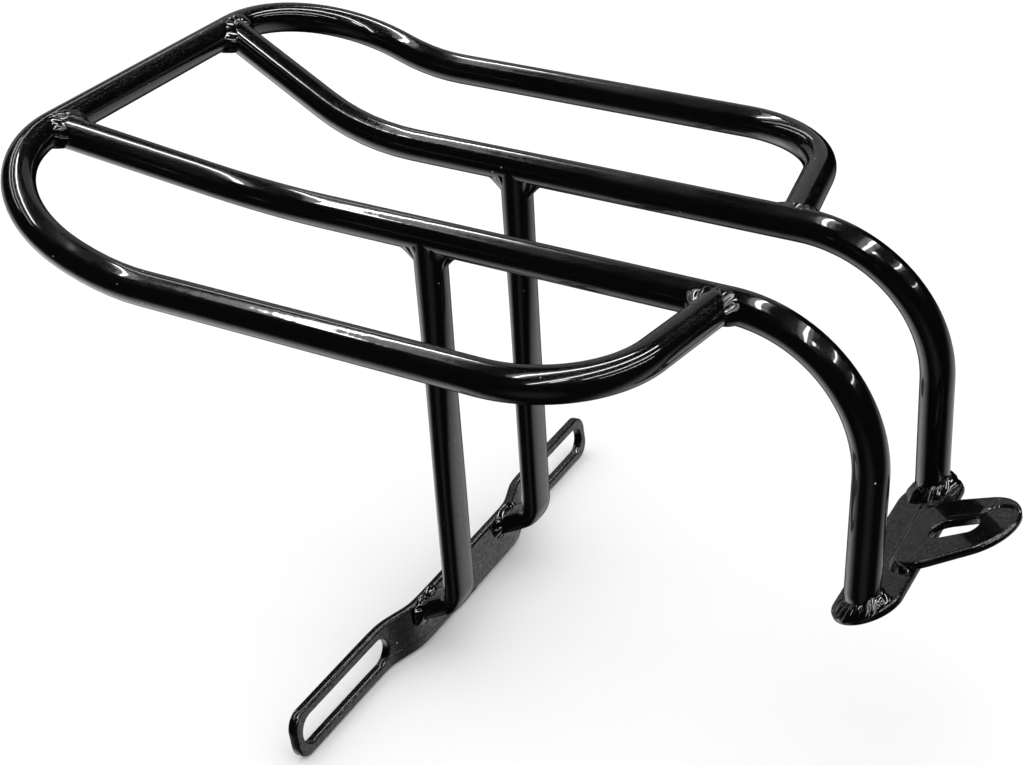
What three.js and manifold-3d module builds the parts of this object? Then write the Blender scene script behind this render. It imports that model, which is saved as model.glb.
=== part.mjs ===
// Bolt-on luggage rack for a motorcycle rear fender, welded up from round bar and flat steel.
// Millimetres, +Z up, -Y towards the seat, +Y towards the tail lamp, +X to the rider's left.
// The origin is the middle of the seat-bolt slot, on the underside of the seat tab.

import * as THREE from "three";
import { mergeVertices } from "three/addons/utils/BufferGeometryUtils.js";
import Module from "manifold-3d";

// ---- Driving dimensions -------------------------------------------------------------------

const BAR_OD = 12.7;                // every round bar, half an inch
const JOINT_GAP = 0.3;              // clearance between a piece and what it is welded to

const DECK_HEIGHT = 90;             // deck centre line above the seat-bolt slot
const DECK_WIDTH = 238;             // over the outside of the hoop
const RAIL_SPACING = 67;            // between rail centres, on the level part of the deck
const REAR_RISE = 23.7;             // how far the tail end kicks up
const REAR_Y = 343;                 // centre line of the rear cross bar

const HOOP_SETBACK = 1;             // where the hoop's ends meet the rails, behind the rails' bends
const HOOP_SWEEP = 12;              // how far each front bar sweeps back towards its corner
const HOOP_FRONT_RADIUS = 44;       // centre-line radii
const HOOP_KICK = 67;               // corner of the kick, ahead of the rear cross bar
const HOOP_KICK_RADIUS = 86;
const HOOP_REAR_RADIUS = 55;

const RAIL_FRONT_RADIUS = 54;
const RAIL_KICK = 81;
const RAIL_KICK_RADIUS = 120;
const DROP_LEAN = 4;                // how far each drop leans forwards on the way down

const FOOT_PITCH = THREE.MathUtils.degToRad(28);    // nose-up slope of the foot plate and tab
const FOOT_SPACING = 80;            // between the drops, at the foot plate
const FOOT_MARGIN = 2.2;            // foot plate beyond each drop's wall
const FOOT_WIDTH = 26.5;
const FOOT_THICKNESS = 3;

const TAB_THICKNESS = 3;
const TAB_WIDTH = 44;
const TAB_NOSE_RADIUS = 18.2;
const TAB_NOSE_BAND = 15;           // steel ahead of the slot
const TAB_TAIL_RADIUS = 12.5;
const TAB_LAP = 10.2;               // how far the tab's tail lies over the foot plate
const TAB_SLOT_WIDTH = 11;
const TAB_SLOT_LENGTH = 19;
const TAB_SLOT_CLEARANCE = 0.3;     // from the end of the slot to the foot plate's front edge

const LEG_TOP_Y = 193;
const LEG_FOOT_Y = 185;             // the legs lean forwards on the way down
const LEG_FOOT_Z = -70;             // corner of the toe bend
const LEG_TOE_ANGLE = THREE.MathUtils.degToRad(57);   // how far the toe turns back
const LEG_TOE_LENGTH = 18.2;        // from that corner to the strap's front face
const LEG_TOE_RADIUS = 9;
const LEG_PRESSED_WIDTH = 16;       // across the bike, where the leg is pressed flat
const LEG_PRESSED_DEPTH = 8.7;
const LEG_PRESSED_CORNER = 0.55;    // 1 leaves the section an ellipse, 0 would make it a box
const LEG_PRESS_START = 5;          // distances down the leg over which the press takes hold
const LEG_PRESS_END = 115;

const STRAP_LEAN = THREE.MathUtils.degToRad(8);       // its top leans back
const STRAP_DROP = 5.4;             // strap's centre line below where the toes meet it
const STRAP_LENGTH = 244;
const STRAP_HEIGHT = 20;
const STRAP_THICKNESS = 4;
const STRAP_JOGGLE = 6;             // the slotted ends sit this far behind the middle
const STRAP_JOGGLE_RUN = 15;        // length of the sloping step, which starts beside the leg
const STRAP_END_RADIUS = 7;
const STRAP_SLOT_WIDTH = 12.5;
const STRAP_SLOT_CLEARANCE = 0.5;   // from the step to the slot's inner end
const STRAP_SLOT_MARGIN = 4;        // steel left beyond the slot's outer end

const BEAD_RADIUS = 2.4;            // weld beads round the hoop's ends and the feet
const LARGE_BEAD_RADIUS = 3.3;      // and those round the rails' rear ends and the legs' tops
const TAB_BEAD_RADIUS = 2.6;

const BAR_SIDES = 20;
const BEND_STEP = THREE.MathUtils.degToRad(10);       // largest turn between two bar sections
const MOST_OF_RUN = 0.99;           // how much of a straight run its bends may use up
const PRESS_STATIONS = 8;           // sections down a leg, to carry the change of its shape
const ARC_SEGMENTS = 8;
const BEAD_STEPS = 20;
const BEAD_SIDES = 6;

// ---- Sizes that follow ----------------------------------------------------------------------

const barRadius = BAR_OD / 2;
const railX = RAIL_SPACING / 2;
const hoopX = (DECK_WIDTH - BAR_OD) / 2;
const rearZ = DECK_HEIGHT + REAR_RISE;
const across = new THREE.Vector3(1, 0, 0);

const footFront = TAB_SLOT_LENGTH / 2 + TAB_SLOT_CLEARANCE;     // these two are along the slope
const footCentre = footFront + FOOT_WIDTH / 2;
const footHalfLength = FOOT_SPACING / 2 + barRadius + FOOT_MARGIN;
const tabNoseY = TAB_NOSE_RADIUS - TAB_NOSE_BAND - TAB_SLOT_LENGTH / 2;
const tabTailX = TAB_WIDTH / 2 - TAB_TAIL_RADIUS;
const tabTailY = footFront + TAB_LAP - TAB_TAIL_RADIUS;

const wasm = await Module();
wasm.setup();

// ---- Solids ---------------------------------------------------------------------------------

function toSolid(geometry) {
  geometry.deleteAttribute("normal");
  geometry.deleteAttribute("uv");
  const merged = mergeVertices(geometry, 1e-4);
  return new wasm.Manifold(new wasm.Mesh({
    numProp: 3,
    vertProperties: new Float32Array(merged.attributes.position.array),
    triVerts: new Uint32Array(merged.index.array),
  }));
}

function toMesh(name, solid, mirror = false) {
  const mesh = solid.getMesh();
  const geometry = new THREE.BufferGeometry();
  geometry.setAttribute("position", new THREE.BufferAttribute(mesh.vertProperties.slice(), 3));
  geometry.setIndex(new THREE.BufferAttribute(mesh.triVerts.slice(), 1));
  if (mirror) {
    geometry.scale(-1, 1, 1);
    geometry.index.array.reverse();
  }
  geometry.computeVertexNormals();
  const paint = new THREE.MeshStandardMaterial({ color: 0x08090a, roughness: 0.12, metalness: 0 });
  const piece = new THREE.Mesh(geometry, paint);
  piece.name = name;
  return piece;
}

function flatPlate(shape, bottom, thickness) {
  const plate = new THREE.ExtrudeGeometry(shape, {
    depth: thickness, bevelEnabled: false, curveSegments: ARC_SEGMENTS,
  });
  return plate.translate(0, 0, bottom);
}

// Everything on the far side of a plane: the side that its normal points away from.
function blockBehind(point, normal) {
  const size = 400;
  const block = new THREE.BoxGeometry(size, size, size).translate(0, 0, -size / 2);
  const turn = new THREE.Quaternion().setFromUnitVectors(new THREE.Vector3(0, 0, 1), normal);
  return toSolid(block.applyQuaternion(turn).translate(point.x, point.y, point.z));
}

// ---- Bent bars ------------------------------------------------------------------------------

// A curve through stations along a bent bar, one extrusion step from each to the next.
class BarLine extends THREE.Curve {
  constructor(stations) {
    super();
    this.stations = stations;
    this.steps = stations.length - 1;
  }

  getPointAt(u) {
    return this.stations[Math.round(u * this.steps)].clone();
  }

  getTangentAt(u) {
    const i = Math.round(u * this.steps);
    const before = this.stations[Math.max(i - 1, 0)];
    const after = this.stations[Math.min(i + 1, this.steps)];
    const here = this.stations[i];
    const arriving = here.clone().sub(before).normalize();
    const leaving = after.clone().sub(here).normalize();
    return arriving.add(leaving).normalize();
  }
}

// Stations along straight runs between corners, with an arc of the given radius at each corner.
// Where two arcs would meet in a short run, both are kept to what the run has room for.
function bend(corners, radii) {
  const runs = corners.slice(1).map((corner, i) => corner.clone().sub(corners[i]));
  const turns = radii.map((_, i) => runs[i].angleTo(runs[i + 1]));
  const insets = radii.map((radius, i) => radius * Math.tan(turns[i] / 2));
  const room = runs.map((run, i) => run.length() / ((insets[i - 1] ?? 0) + (insets[i] ?? 0)));
  const stations = [corners[0]];
  radii.forEach((radius, i) => {
    const fit = Math.min(1, MOST_OF_RUN * room[i], MOST_OF_RUN * room[i + 1]);
    const corner = corners[i + 1];
    const inwards = runs[i + 1].clone().normalize().sub(runs[i].clone().normalize()).normalize();
    const centre = corner.clone().addScaledVector(inwards, fit * radius / Math.cos(turns[i] / 2));
    const start = corner.clone().sub(runs[i].clone().setLength(fit * insets[i])).sub(centre);
    const axis = new THREE.Vector3().crossVectors(runs[i], runs[i + 1]).normalize();
    const steps = Math.max(2, Math.ceil(turns[i] / BEND_STEP));
    for (let k = 0; k <= steps; k += 1) {
      stations.push(start.clone().applyAxisAngle(axis, turns[i] * k / steps).add(centre));
    }
  });
  return [...stations, corners[corners.length - 1]];
}

function roundBar(stations, radius = barRadius) {
  const section = [];
  for (let i = 0; i < BAR_SIDES; i += 1) {
    const angle = 2 * Math.PI * (i + 0.5) / BAR_SIDES;
    section.push(new THREE.Vector2(radius * Math.cos(angle), radius * Math.sin(angle)));
  }
  const line = new BarLine(stations);
  return new THREE.ExtrudeGeometry(new THREE.Shape(section), {
    steps: line.steps, extrudePath: line, bevelEnabled: false,
  });
}

function mirrored(points) {
  return points.map((point) => new THREE.Vector3(-point.x, point.y, point.z));
}

function straight(from, to, count) {
  return Array.from({ length: count }, (_, i) => from.clone().lerp(to, i / count));
}

// ---- The deck: hoop and rails -----------------------------------------------------------------

const railFoot = new THREE.Vector3(FOOT_SPACING / 2, footCentre * Math.cos(FOOT_PITCH),
  -footCentre * Math.sin(FOOT_PITCH));
const railFront = new THREE.Vector3(railX, railFoot.y + DROP_LEAN, DECK_HEIGHT);
const railKick = new THREE.Vector3(railX, REAR_Y - RAIL_KICK, DECK_HEIGHT);
const railRear = new THREE.Vector3(hoopX - HOOP_REAR_RADIUS, REAR_Y, rearZ);

const hoopFront = new THREE.Vector3(railX, railFront.y + RAIL_FRONT_RADIUS + HOOP_SETBACK, DECK_HEIGHT);
const hoopCorner = new THREE.Vector3(hoopX, hoopFront.y + HOOP_SWEEP, DECK_HEIGHT);

function hoopLine() {
  const left = [
    hoopFront,
    hoopCorner,
    new THREE.Vector3(hoopX, REAR_Y - HOOP_KICK, DECK_HEIGHT),
    new THREE.Vector3(hoopX, REAR_Y, rearZ),
  ];
  const radii = [HOOP_FRONT_RADIUS, HOOP_KICK_RADIUS, HOOP_REAR_RADIUS];
  return bend([...left, ...mirrored(left).reverse()], [...radii, ...[...radii].reverse()]);
}

function railLine() {
  const below = railFoot.clone().sub(railFront).setLength(BAR_OD).add(railFoot);
  return bend([below, railFront, railKick, railRear], [RAIL_FRONT_RADIUS, RAIL_KICK_RADIUS]);
}

// ---- The foot: plate and seat tab, flat in a group that is pitched nose up ----------------------

const footNormal = new THREE.Vector3(0, Math.sin(FOOT_PITCH), Math.cos(FOOT_PITCH));
const footTop = -JOINT_GAP;

function roundEnded(shape, halfLength, radius, alongX, centreY) {
  const reach = halfLength - radius;
  if (alongX) {
    shape.absarc(reach, centreY, radius, -Math.PI / 2, Math.PI / 2, false);
    shape.absarc(-reach, centreY, radius, Math.PI / 2, 1.5 * Math.PI, false);
  } else {
    shape.absarc(0, centreY + reach, radius, 0, Math.PI, false);
    shape.absarc(0, centreY - reach, radius, Math.PI, 2 * Math.PI, false);
  }
  return shape;
}

function footPlate() {
  const outline = roundEnded(new THREE.Shape(), footHalfLength, FOOT_WIDTH / 2, true, footCentre);
  return flatPlate(outline, footTop - FOOT_THICKNESS, FOOT_THICKNESS);
}

// Round nose, straight sides that flare towards the tail, and two rounded tail corners.
function tabOutline(grow) {
  const nose = TAB_NOSE_RADIUS + grow;
  const tail = TAB_TAIL_RADIUS + grow;
  const run = tabTailY - tabNoseY;
  const slope = Math.atan2(run, tabTailX);
  const tangent = slope - Math.acos((nose - tail) / Math.hypot(run, tabTailX));
  const outline = new THREE.Shape();
  outline.absarc(tabTailX, tabTailY, tail, tangent, Math.PI / 2, false);
  outline.absarc(-tabTailX, tabTailY, tail, Math.PI / 2, Math.PI - tangent, false);
  outline.absarc(0, tabNoseY, nose, Math.PI - tangent, 2 * Math.PI + tangent, false);
  return outline;
}

function seatTab() {
  const outline = tabOutline(0);
  outline.holes.push(roundEnded(new THREE.Path(), TAB_SLOT_LENGTH / 2, TAB_SLOT_WIDTH / 2, false, 0));
  return flatPlate(outline, 0, TAB_THICKNESS);
}

// One run of weld round the back of the tab, where it lies on the foot plate.
function tabBead() {
  const startAngle = Math.asin((footFront + TAB_BEAD_RADIUS - tabTailY) / TAB_TAIL_RADIUS);
  const line = [];
  for (let i = 0; i <= ARC_SEGMENTS; i += 1) {
    const angle = startAngle + (Math.PI / 2 - startAngle) * i / ARC_SEGMENTS;
    line.push(new THREE.Vector3(tabTailX + TAB_TAIL_RADIUS * Math.cos(angle),
      tabTailY + TAB_TAIL_RADIUS * Math.sin(angle), 0));
  }
  const bead = toSolid(roundBar([...line, ...mirrored(line).reverse()], TAB_BEAD_RADIUS));
  const tab = toSolid(flatPlate(tabOutline(JOINT_GAP), -10, 20));
  const plate = blockBehind(new THREE.Vector3(0, 0, footTop + JOINT_GAP), new THREE.Vector3(0, 0, 1));
  return bead.subtract(tab).subtract(plate);
}

// ---- The legs and the strap they stand on -------------------------------------------------------

const toe = new THREE.Vector3(0, Math.sin(LEG_TOE_ANGLE), -Math.cos(LEG_TOE_ANGLE));
const legTop = new THREE.Vector3(railX, LEG_TOP_Y, DECK_HEIGHT);
const legCorner = new THREE.Vector3(railX, LEG_FOOT_Y, LEG_FOOT_Z);
const legEnd = legCorner.clone().addScaledVector(toe, LEG_TOE_LENGTH);

// The middle of the strap's front face, and the way that face looks.
const strapFront = new THREE.Vector3(0, -Math.cos(STRAP_LEAN), Math.sin(STRAP_LEAN));
const strapCentre = new THREE.Vector3(0, legEnd.y - STRAP_DROP * Math.sin(STRAP_LEAN),
  legEnd.z - STRAP_DROP * Math.cos(STRAP_LEAN));

function legLine() {
  const past = legEnd.clone().addScaledVector(toe, STRAP_THICKNESS);
  const [top, ...rest] = bend([legTop, legCorner, past], [LEG_TOE_RADIUS]);
  return [...straight(top, rest[0], PRESS_STATIONS), ...rest];
}

// The round section is pressed to a flat with soft corners: the press takes hold down the leg.
function pressedLeg(grow) {
  const stations = legLine();
  const leg = roundBar(stations, barRadius + grow);
  const position = leg.attributes.position;
  const line = new BarLine(stations);
  const runs = [0];
  for (let i = 1; i < stations.length; i += 1) {
    runs.push(runs[i - 1] + stations[i].distanceTo(stations[i - 1]));
  }
  const point = new THREE.Vector3();
  for (let i = 0; i < position.count; i += 1) {
    point.fromBufferAttribute(position, i);
    let nearest = 0;
    stations.forEach((station, k) => {
      if (point.distanceToSquared(station) < point.distanceToSquared(stations[nearest])) nearest = k;
    });
    const press = THREE.MathUtils.smoothstep(runs[nearest], LEG_PRESS_START, LEG_PRESS_END);
    const thick = new THREE.Vector3().crossVectors(across, line.getTangentAt(nearest / line.steps));
    const offset = point.clone().sub(stations[nearest]);
    const angle = Math.atan2(offset.dot(thick), offset.x);
    const power = THREE.MathUtils.lerp(1, LEG_PRESSED_CORNER, press ** 2);
    const halfWidth = THREE.MathUtils.lerp(barRadius, LEG_PRESSED_WIDTH / 2, press) + grow;
    const halfDepth = THREE.MathUtils.lerp(barRadius, LEG_PRESSED_DEPTH / 2, press) + grow;
    point.copy(stations[nearest])
      .addScaledVector(across, halfWidth * Math.sign(Math.cos(angle)) * Math.abs(Math.cos(angle)) ** power)
      .addScaledVector(thick, halfDepth * Math.sign(Math.sin(angle)) * Math.abs(Math.sin(angle)) ** power);
    position.setXYZ(i, point.x, point.y, point.z);
  }
  return leg;
}

const joggleStart = railX + LEG_PRESSED_WIDTH / 2;
const joggleEnd = joggleStart + STRAP_JOGGLE_RUN;

// Seen from above: a bar of even thickness that steps back at each joggle.
function strapPlan() {
  const knees = [
    [-STRAP_LENGTH / 2, STRAP_JOGGLE], [-joggleEnd, STRAP_JOGGLE], [-joggleStart, 0],
    [joggleStart, 0], [joggleEnd, STRAP_JOGGLE], [STRAP_LENGTH / 2, STRAP_JOGGLE],
  ];
  const slope = Math.atan2(STRAP_JOGGLE, STRAP_JOGGLE_RUN);
  const mitre = STRAP_THICKNESS * Math.tan(slope / 2);
  const shifts = [0, mitre, mitre, -mitre, -mitre, 0];
  const front = knees.map(([x, y]) => new THREE.Vector2(x, y));
  const back = knees.map(([x, y], i) => new THREE.Vector2(x + shifts[i], y + STRAP_THICKNESS));
  return new THREE.Shape([...front, ...back.reverse()]);
}

// Seen from the front: rounded ends, and a long slot in each.
function strapFace() {
  const halfLength = STRAP_LENGTH / 2;
  const halfHeight = STRAP_HEIGHT / 2;
  const insetX = halfLength - STRAP_END_RADIUS;
  const insetY = halfHeight - STRAP_END_RADIUS;
  const face = new THREE.Shape();
  face.absarc(insetX, insetY, STRAP_END_RADIUS, 0, Math.PI / 2, false);
  face.absarc(-insetX, insetY, STRAP_END_RADIUS, Math.PI / 2, Math.PI, false);
  face.absarc(-insetX, -insetY, STRAP_END_RADIUS, Math.PI, 1.5 * Math.PI, false);
  face.absarc(insetX, -insetY, STRAP_END_RADIUS, 1.5 * Math.PI, 2 * Math.PI, false);
  const slotRadius = STRAP_SLOT_WIDTH / 2;
  const outer = halfLength - STRAP_SLOT_MARGIN - slotRadius;
  const inner = joggleEnd + STRAP_SLOT_CLEARANCE + slotRadius;
  for (const [from, to] of [[inner, outer], [-outer, -inner]]) {
    const slot = new THREE.Path();
    slot.absarc(to, 0, slotRadius, -Math.PI / 2, Math.PI / 2, false);
    slot.absarc(from, 0, slotRadius, Math.PI / 2, 1.5 * Math.PI, false);
    face.holes.push(slot);
  }
  return face;
}

function crossStrap() {
  const body = flatPlate(strapPlan(), -STRAP_HEIGHT, 2 * STRAP_HEIGHT);
  const face = flatPlate(strapFace(), -STRAP_HEIGHT, 2 * STRAP_HEIGHT).rotateX(Math.PI / 2);
  return toSolid(body).intersect(toSolid(face));
}

// ---- Weld beads ---------------------------------------------------------------------------------

// How far along a ray the target is: a plane, or a round bar (where it passes nearest, if it misses).
function reach(origin, along, target) {
  const offset = origin.clone().sub(target.point);
  if (target.normal) return -offset.dot(target.normal) / along.dot(target.normal);
  offset.addScaledVector(target.axis, -offset.dot(target.axis));
  const travel = along.clone().addScaledVector(target.axis, -along.dot(target.axis));
  const a = travel.lengthSq();
  const b = offset.dot(travel);
  const c = offset.lengthSq() - barRadius ** 2;
  return (-b - Math.sqrt(Math.max(0, b * b - a * c))) / a;
}

// A ring round a bar's end, each part of which slides along the bar until it meets the target.
function ringBead(end, from, width, depth, target, radius = BEAD_RADIUS) {
  const ring = new THREE.TorusGeometry(1, 1, BEAD_SIDES, BEAD_STEPS);
  const along = end.clone().sub(from).normalize();
  const up = new THREE.Vector3().crossVectors(along, across).normalize();
  const side = new THREE.Vector3().crossVectors(up, along);
  const position = ring.attributes.position;
  for (let i = 0; i < position.count; i += 1) {
    const turn = 2 * Math.PI * (i % (BEAD_STEPS + 1)) / BEAD_STEPS;
    const roll = 2 * Math.PI * Math.floor(i / (BEAD_STEPS + 1)) / BEAD_SIDES;
    const wall = new THREE.Vector3()
      .addScaledVector(side, width / 2 * Math.cos(turn))
      .addScaledVector(up, depth / 2 * Math.sin(turn));
    const origin = from.clone().add(wall);
    const point = origin.clone().addScaledVector(along, reach(origin, along, target))
      .addScaledVector(wall.normalize(), radius * Math.cos(roll))
      .addScaledVector(along, radius * Math.sin(roll));
    position.setXYZ(i, point.x, point.y, point.z);
  }
  return toSolid(ring);
}

// ---- Assembly -------------------------------------------------------------------------------------

const rack = new THREE.Group();

const foot = new THREE.Group();
foot.rotation.x = -FOOT_PITCH;
foot.add(toMesh("foot_plate", toSolid(footPlate())));
foot.add(toMesh("seat_tab", toSolid(seatTab())));
foot.add(toMesh("weld_seat_tab", tabBead()));
rack.add(foot);

const strap = toMesh("cross_strap", crossStrap());
strap.position.copy(strapCentre);
strap.rotation.x = -STRAP_LEAN;
rack.add(strap);

// The left half's pieces; each right-hand twin is the same solid in the mirror.
const hoopBar = roundBar(hoopLine());
const hoopRoom = toSolid(roundBar(hoopLine(), barRadius + JOINT_GAP));
const railRoom = toSolid(roundBar(railLine(), barRadius + JOINT_GAP));
const legRoom = toSolid(pressedLeg(JOINT_GAP));
const belowFoot = blockBehind(new THREE.Vector3(), footNormal);
const behindStrap = blockBehind(strapCentre.clone().addScaledVector(strapFront, JOINT_GAP), strapFront);

const crossBar = { point: railRear, axis: across };
const railBar = { point: railKick, axis: new THREE.Vector3(0, 1, 0) };
const footPlane = { point: new THREE.Vector3(), normal: footNormal };
const strapPlane = { point: strapCentre, normal: strapFront };

const leftPieces = {
  rail: toSolid(roundBar(railLine())).subtract(hoopRoom).subtract(belowFoot),
  leg: toSolid(pressedLeg(0)).subtract(railRoom).subtract(behindStrap),
  weld_rail_rear: ringBead(railRear, railKick, BAR_OD, BAR_OD, crossBar, LARGE_BEAD_RADIUS)
    .subtract(railRoom).subtract(hoopRoom),
  weld_hoop_front: ringBead(hoopFront, hoopCorner, BAR_OD, BAR_OD, railBar)
    .subtract(hoopRoom).subtract(railRoom),
  weld_leg_top: ringBead(legTop, legCorner, BAR_OD, BAR_OD, railBar, LARGE_BEAD_RADIUS)
    .subtract(legRoom).subtract(railRoom),
  weld_leg_foot: ringBead(legEnd, legCorner, LEG_PRESSED_WIDTH, LEG_PRESSED_DEPTH, strapPlane)
    .subtract(legRoom).subtract(behindStrap),
  weld_drop: ringBead(railFoot, railFront, BAR_OD, BAR_OD, footPlane)
    .subtract(railRoom).subtract(belowFoot),
};

const mirroredRailRoom = toSolid(roundBar(mirrored(railLine()), barRadius + JOINT_GAP));
rack.add(toMesh("outer_hoop", toSolid(hoopBar).subtract(railRoom).subtract(mirroredRailRoom)));
for (const [name, solid] of Object.entries(leftPieces)) {
  rack.add(toMesh(`${name}_left`, solid));
  rack.add(toMesh(`${name}_right`, solid, true));
}

export default rack;
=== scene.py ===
"""A bolt-on luggage rack for a motorcycle's rear fender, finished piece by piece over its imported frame.

Metres, +Z up, +Y towards the tail, +X to the rider's left. The origin is the middle of the
seat-bolt slot, on the underside of the seat tab. Every piece rides on the one body, root.
"""

import math

import bmesh
import bpy
import numpy as np
from mathutils import Matrix, Vector


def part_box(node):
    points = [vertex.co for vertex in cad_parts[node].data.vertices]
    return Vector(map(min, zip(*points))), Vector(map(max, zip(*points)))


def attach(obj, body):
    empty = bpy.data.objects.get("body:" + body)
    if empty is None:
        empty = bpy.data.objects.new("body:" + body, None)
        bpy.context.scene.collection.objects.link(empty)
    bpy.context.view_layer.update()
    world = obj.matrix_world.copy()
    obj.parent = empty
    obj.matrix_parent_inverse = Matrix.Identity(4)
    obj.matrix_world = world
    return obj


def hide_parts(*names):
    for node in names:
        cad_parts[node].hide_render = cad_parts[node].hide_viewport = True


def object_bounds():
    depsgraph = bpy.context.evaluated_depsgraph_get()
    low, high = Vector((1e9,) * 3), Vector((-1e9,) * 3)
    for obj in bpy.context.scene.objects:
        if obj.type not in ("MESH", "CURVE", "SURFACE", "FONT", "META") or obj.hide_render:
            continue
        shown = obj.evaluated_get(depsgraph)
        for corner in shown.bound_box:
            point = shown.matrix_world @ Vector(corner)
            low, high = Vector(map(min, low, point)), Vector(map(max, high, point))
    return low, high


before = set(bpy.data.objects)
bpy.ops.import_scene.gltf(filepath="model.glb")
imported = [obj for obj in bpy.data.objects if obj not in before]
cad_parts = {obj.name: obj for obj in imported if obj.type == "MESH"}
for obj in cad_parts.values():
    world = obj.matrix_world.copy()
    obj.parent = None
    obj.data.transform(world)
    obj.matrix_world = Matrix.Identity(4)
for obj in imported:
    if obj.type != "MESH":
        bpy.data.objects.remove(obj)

cad_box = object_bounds()
scene = bpy.context.scene
X, Y, Z = np.eye(3)


# ---- The camera -----------------------------------------------------------------------------------
# A long lens close above the right-hand side, ahead of the deck and looking back along it. The rack
# is the whole picture: its tail is at the left and its seat tab at the right.

EYE = Vector((-0.5538, -0.1229, 0.3941))
YAW, PITCH, ROLL = 0.5330, 0.5282, -0.0333      # radians; yaw turns from +X towards +Y
LENS = 66.11

forward = Vector((math.cos(YAW) * math.cos(PITCH), math.sin(YAW) * math.cos(PITCH), -math.sin(PITCH)))
level = forward.cross(Vector(Z)).normalized()
upright = level.cross(forward)
across = math.cos(ROLL) * level + math.sin(ROLL) * upright
upwards = -math.sin(ROLL) * level + math.cos(ROLL) * upright

lens = bpy.data.cameras.new("camera")
lens.sensor_width = 36
lens.lens = LENS
lens.shift_x = 0.0566
lens.shift_y = -0.0248
camera = bpy.data.objects.new("camera", lens)
camera.matrix_world = Matrix((across, upwards, -forward)).transposed().to_4x4()
camera.location = EYE
scene.collection.objects.link(camera)
scene.camera = camera


# ---- The studio -----------------------------------------------------------------------------------
# A plain pale floor under a soft sky light. The gloss mirrors a dark workshop with rows of tube
# lamps on its ceiling, running across the bike, and a few dim cards low down round the piece.

FLOOR_SIZE = 60

floor_data = bpy.data.meshes.new("floor")
half = FLOOR_SIZE / 2
floor_data.from_pydata([(-half, -half, 0), (half, -half, 0), (half, half, 0), (-half, half, 0)], [], [(0, 1, 2, 3)])
floor_data.transform(Matrix.Translation((0, 0, cad_box[0].z)))
floor = bpy.data.objects.new("floor", floor_data)
scene.collection.objects.link(floor)
floor.visible_glossy = False

pale = bpy.data.materials.new("pale_floor")
pale.use_nodes = True
pale_shader = pale.node_tree.nodes["Principled BSDF"]
pale_shader.inputs["Base Color"].default_value = (0.90, 0.90, 0.90, 1)
pale_shader.inputs["Roughness"].default_value = 0.9
pale_shader.inputs["Specular IOR Level"].default_value = 0.0
floor_data.materials.append(pale)

sky_data = bpy.data.lights.new("soft_sky", "SUN")
sky_data.energy = 3.95
sky_data.angle = math.radians(160)
sky = bpy.data.objects.new("soft_sky", sky_data)
sky.visible_glossy = False
scene.collection.objects.link(sky)
scene.view_settings.view_transform = "Standard"


def maths(nodes, links, operation, *values, clamp=False):
    """A Math node over sockets or constants, and its output."""
    node = nodes.new("ShaderNodeMath")
    node.operation = operation
    node.use_clamp = clamp
    for socket, value in zip(node.inputs, values):
        if isinstance(value, bpy.types.NodeSocket):
            links.new(value, socket)
        else:
            socket.default_value = value
    return node.outputs[0]


def fade(nodes, links, value, start, end):
    """1 up to start, falling smoothly to 0 at end."""
    node = nodes.new("ShaderNodeMapRange")
    node.interpolation_type = "SMOOTHSTEP"
    node.inputs["From Min"].default_value = start
    node.inputs["From Max"].default_value = end
    node.inputs["To Min"].default_value = 1
    node.inputs["To Max"].default_value = 0
    links.new(value, node.inputs["Value"])
    return node.outputs["Result"]


def lamp_row_group():
    """One row of tubes on a flat ceiling a unit up: a bright core, and the pale panel it lights beside it.

    Across and Along are where the mirrored ray meets the ceiling. The row lies at its own Along and
    runs from Left to Right; its ends fade over a short way.
    """
    group = bpy.data.node_groups.new("lamp_row", "ShaderNodeTree")
    for label in ("Across", "Along", "Row", "Left", "Right", "Core", "Panel"):
        group.interface.new_socket(label, in_out="INPUT", socket_type="NodeSocketFloat")
    group.interface.new_socket("Glow", in_out="OUTPUT", socket_type="NodeSocketFloat")
    nodes, links = group.nodes, group.links
    given, made = nodes.new("NodeGroupInput").outputs, nodes.new("NodeGroupOutput")
    off = maths(nodes, links, "ABSOLUTE", maths(nodes, links, "SUBTRACT", given["Along"], given["Row"]))
    core = maths(nodes, links, "MULTIPLY", fade(nodes, links, off, 0.018, 0.034), given["Core"])
    panel = maths(nodes, links, "MULTIPLY", fade(nodes, links, off, 0.07, 0.12), given["Panel"])
    past_left = maths(nodes, links, "SUBTRACT", given["Left"], given["Across"])
    past_right = maths(nodes, links, "SUBTRACT", given["Across"], given["Right"])
    past = maths(nodes, links, "MAXIMUM", past_left, past_right)
    ends = fade(nodes, links, past, -0.06, 0.0)
    glow = maths(nodes, links, "MULTIPLY", maths(nodes, links, "ADD", core, panel), ends)
    links.new(glow, made.inputs["Glow"])
    return group


def room_card(nodes, links, direction, towards, inner, outer, radiance):
    """One soft card in the room: its radiance, faded over the angle between direction and towards."""
    dot = nodes.new("ShaderNodeVectorMath")
    dot.operation = "DOT_PRODUCT"
    dot.inputs[1].default_value = Vector(towards).normalized()
    links.new(direction, dot.inputs[0])
    angle = maths(nodes, links, "ARCCOSINE", dot.outputs["Value"])
    card = fade(nodes, links, angle, math.radians(inner), math.radians(outer))
    return maths(nodes, links, "MULTIPLY", card, radiance)


room = bpy.data.worlds.new("studio_room")
scene.world = room
room.use_nodes = True
nodes, links = room.node_tree.nodes, room.node_tree.links
direction = nodes.new("ShaderNodeTexCoord").outputs["Generated"]
heading = nodes.new("ShaderNodeSeparateXYZ")
links.new(direction, heading.inputs[0])
height = maths(nodes, links, "MAXIMUM", heading.outputs["Z"], 0.05)
across_ceiling = maths(nodes, links, "DIVIDE", heading.outputs["X"], height)
along_ceiling = maths(nodes, links, "DIVIDE", heading.outputs["Y"], height)
LAMP_ROW = lamp_row_group()

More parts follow.
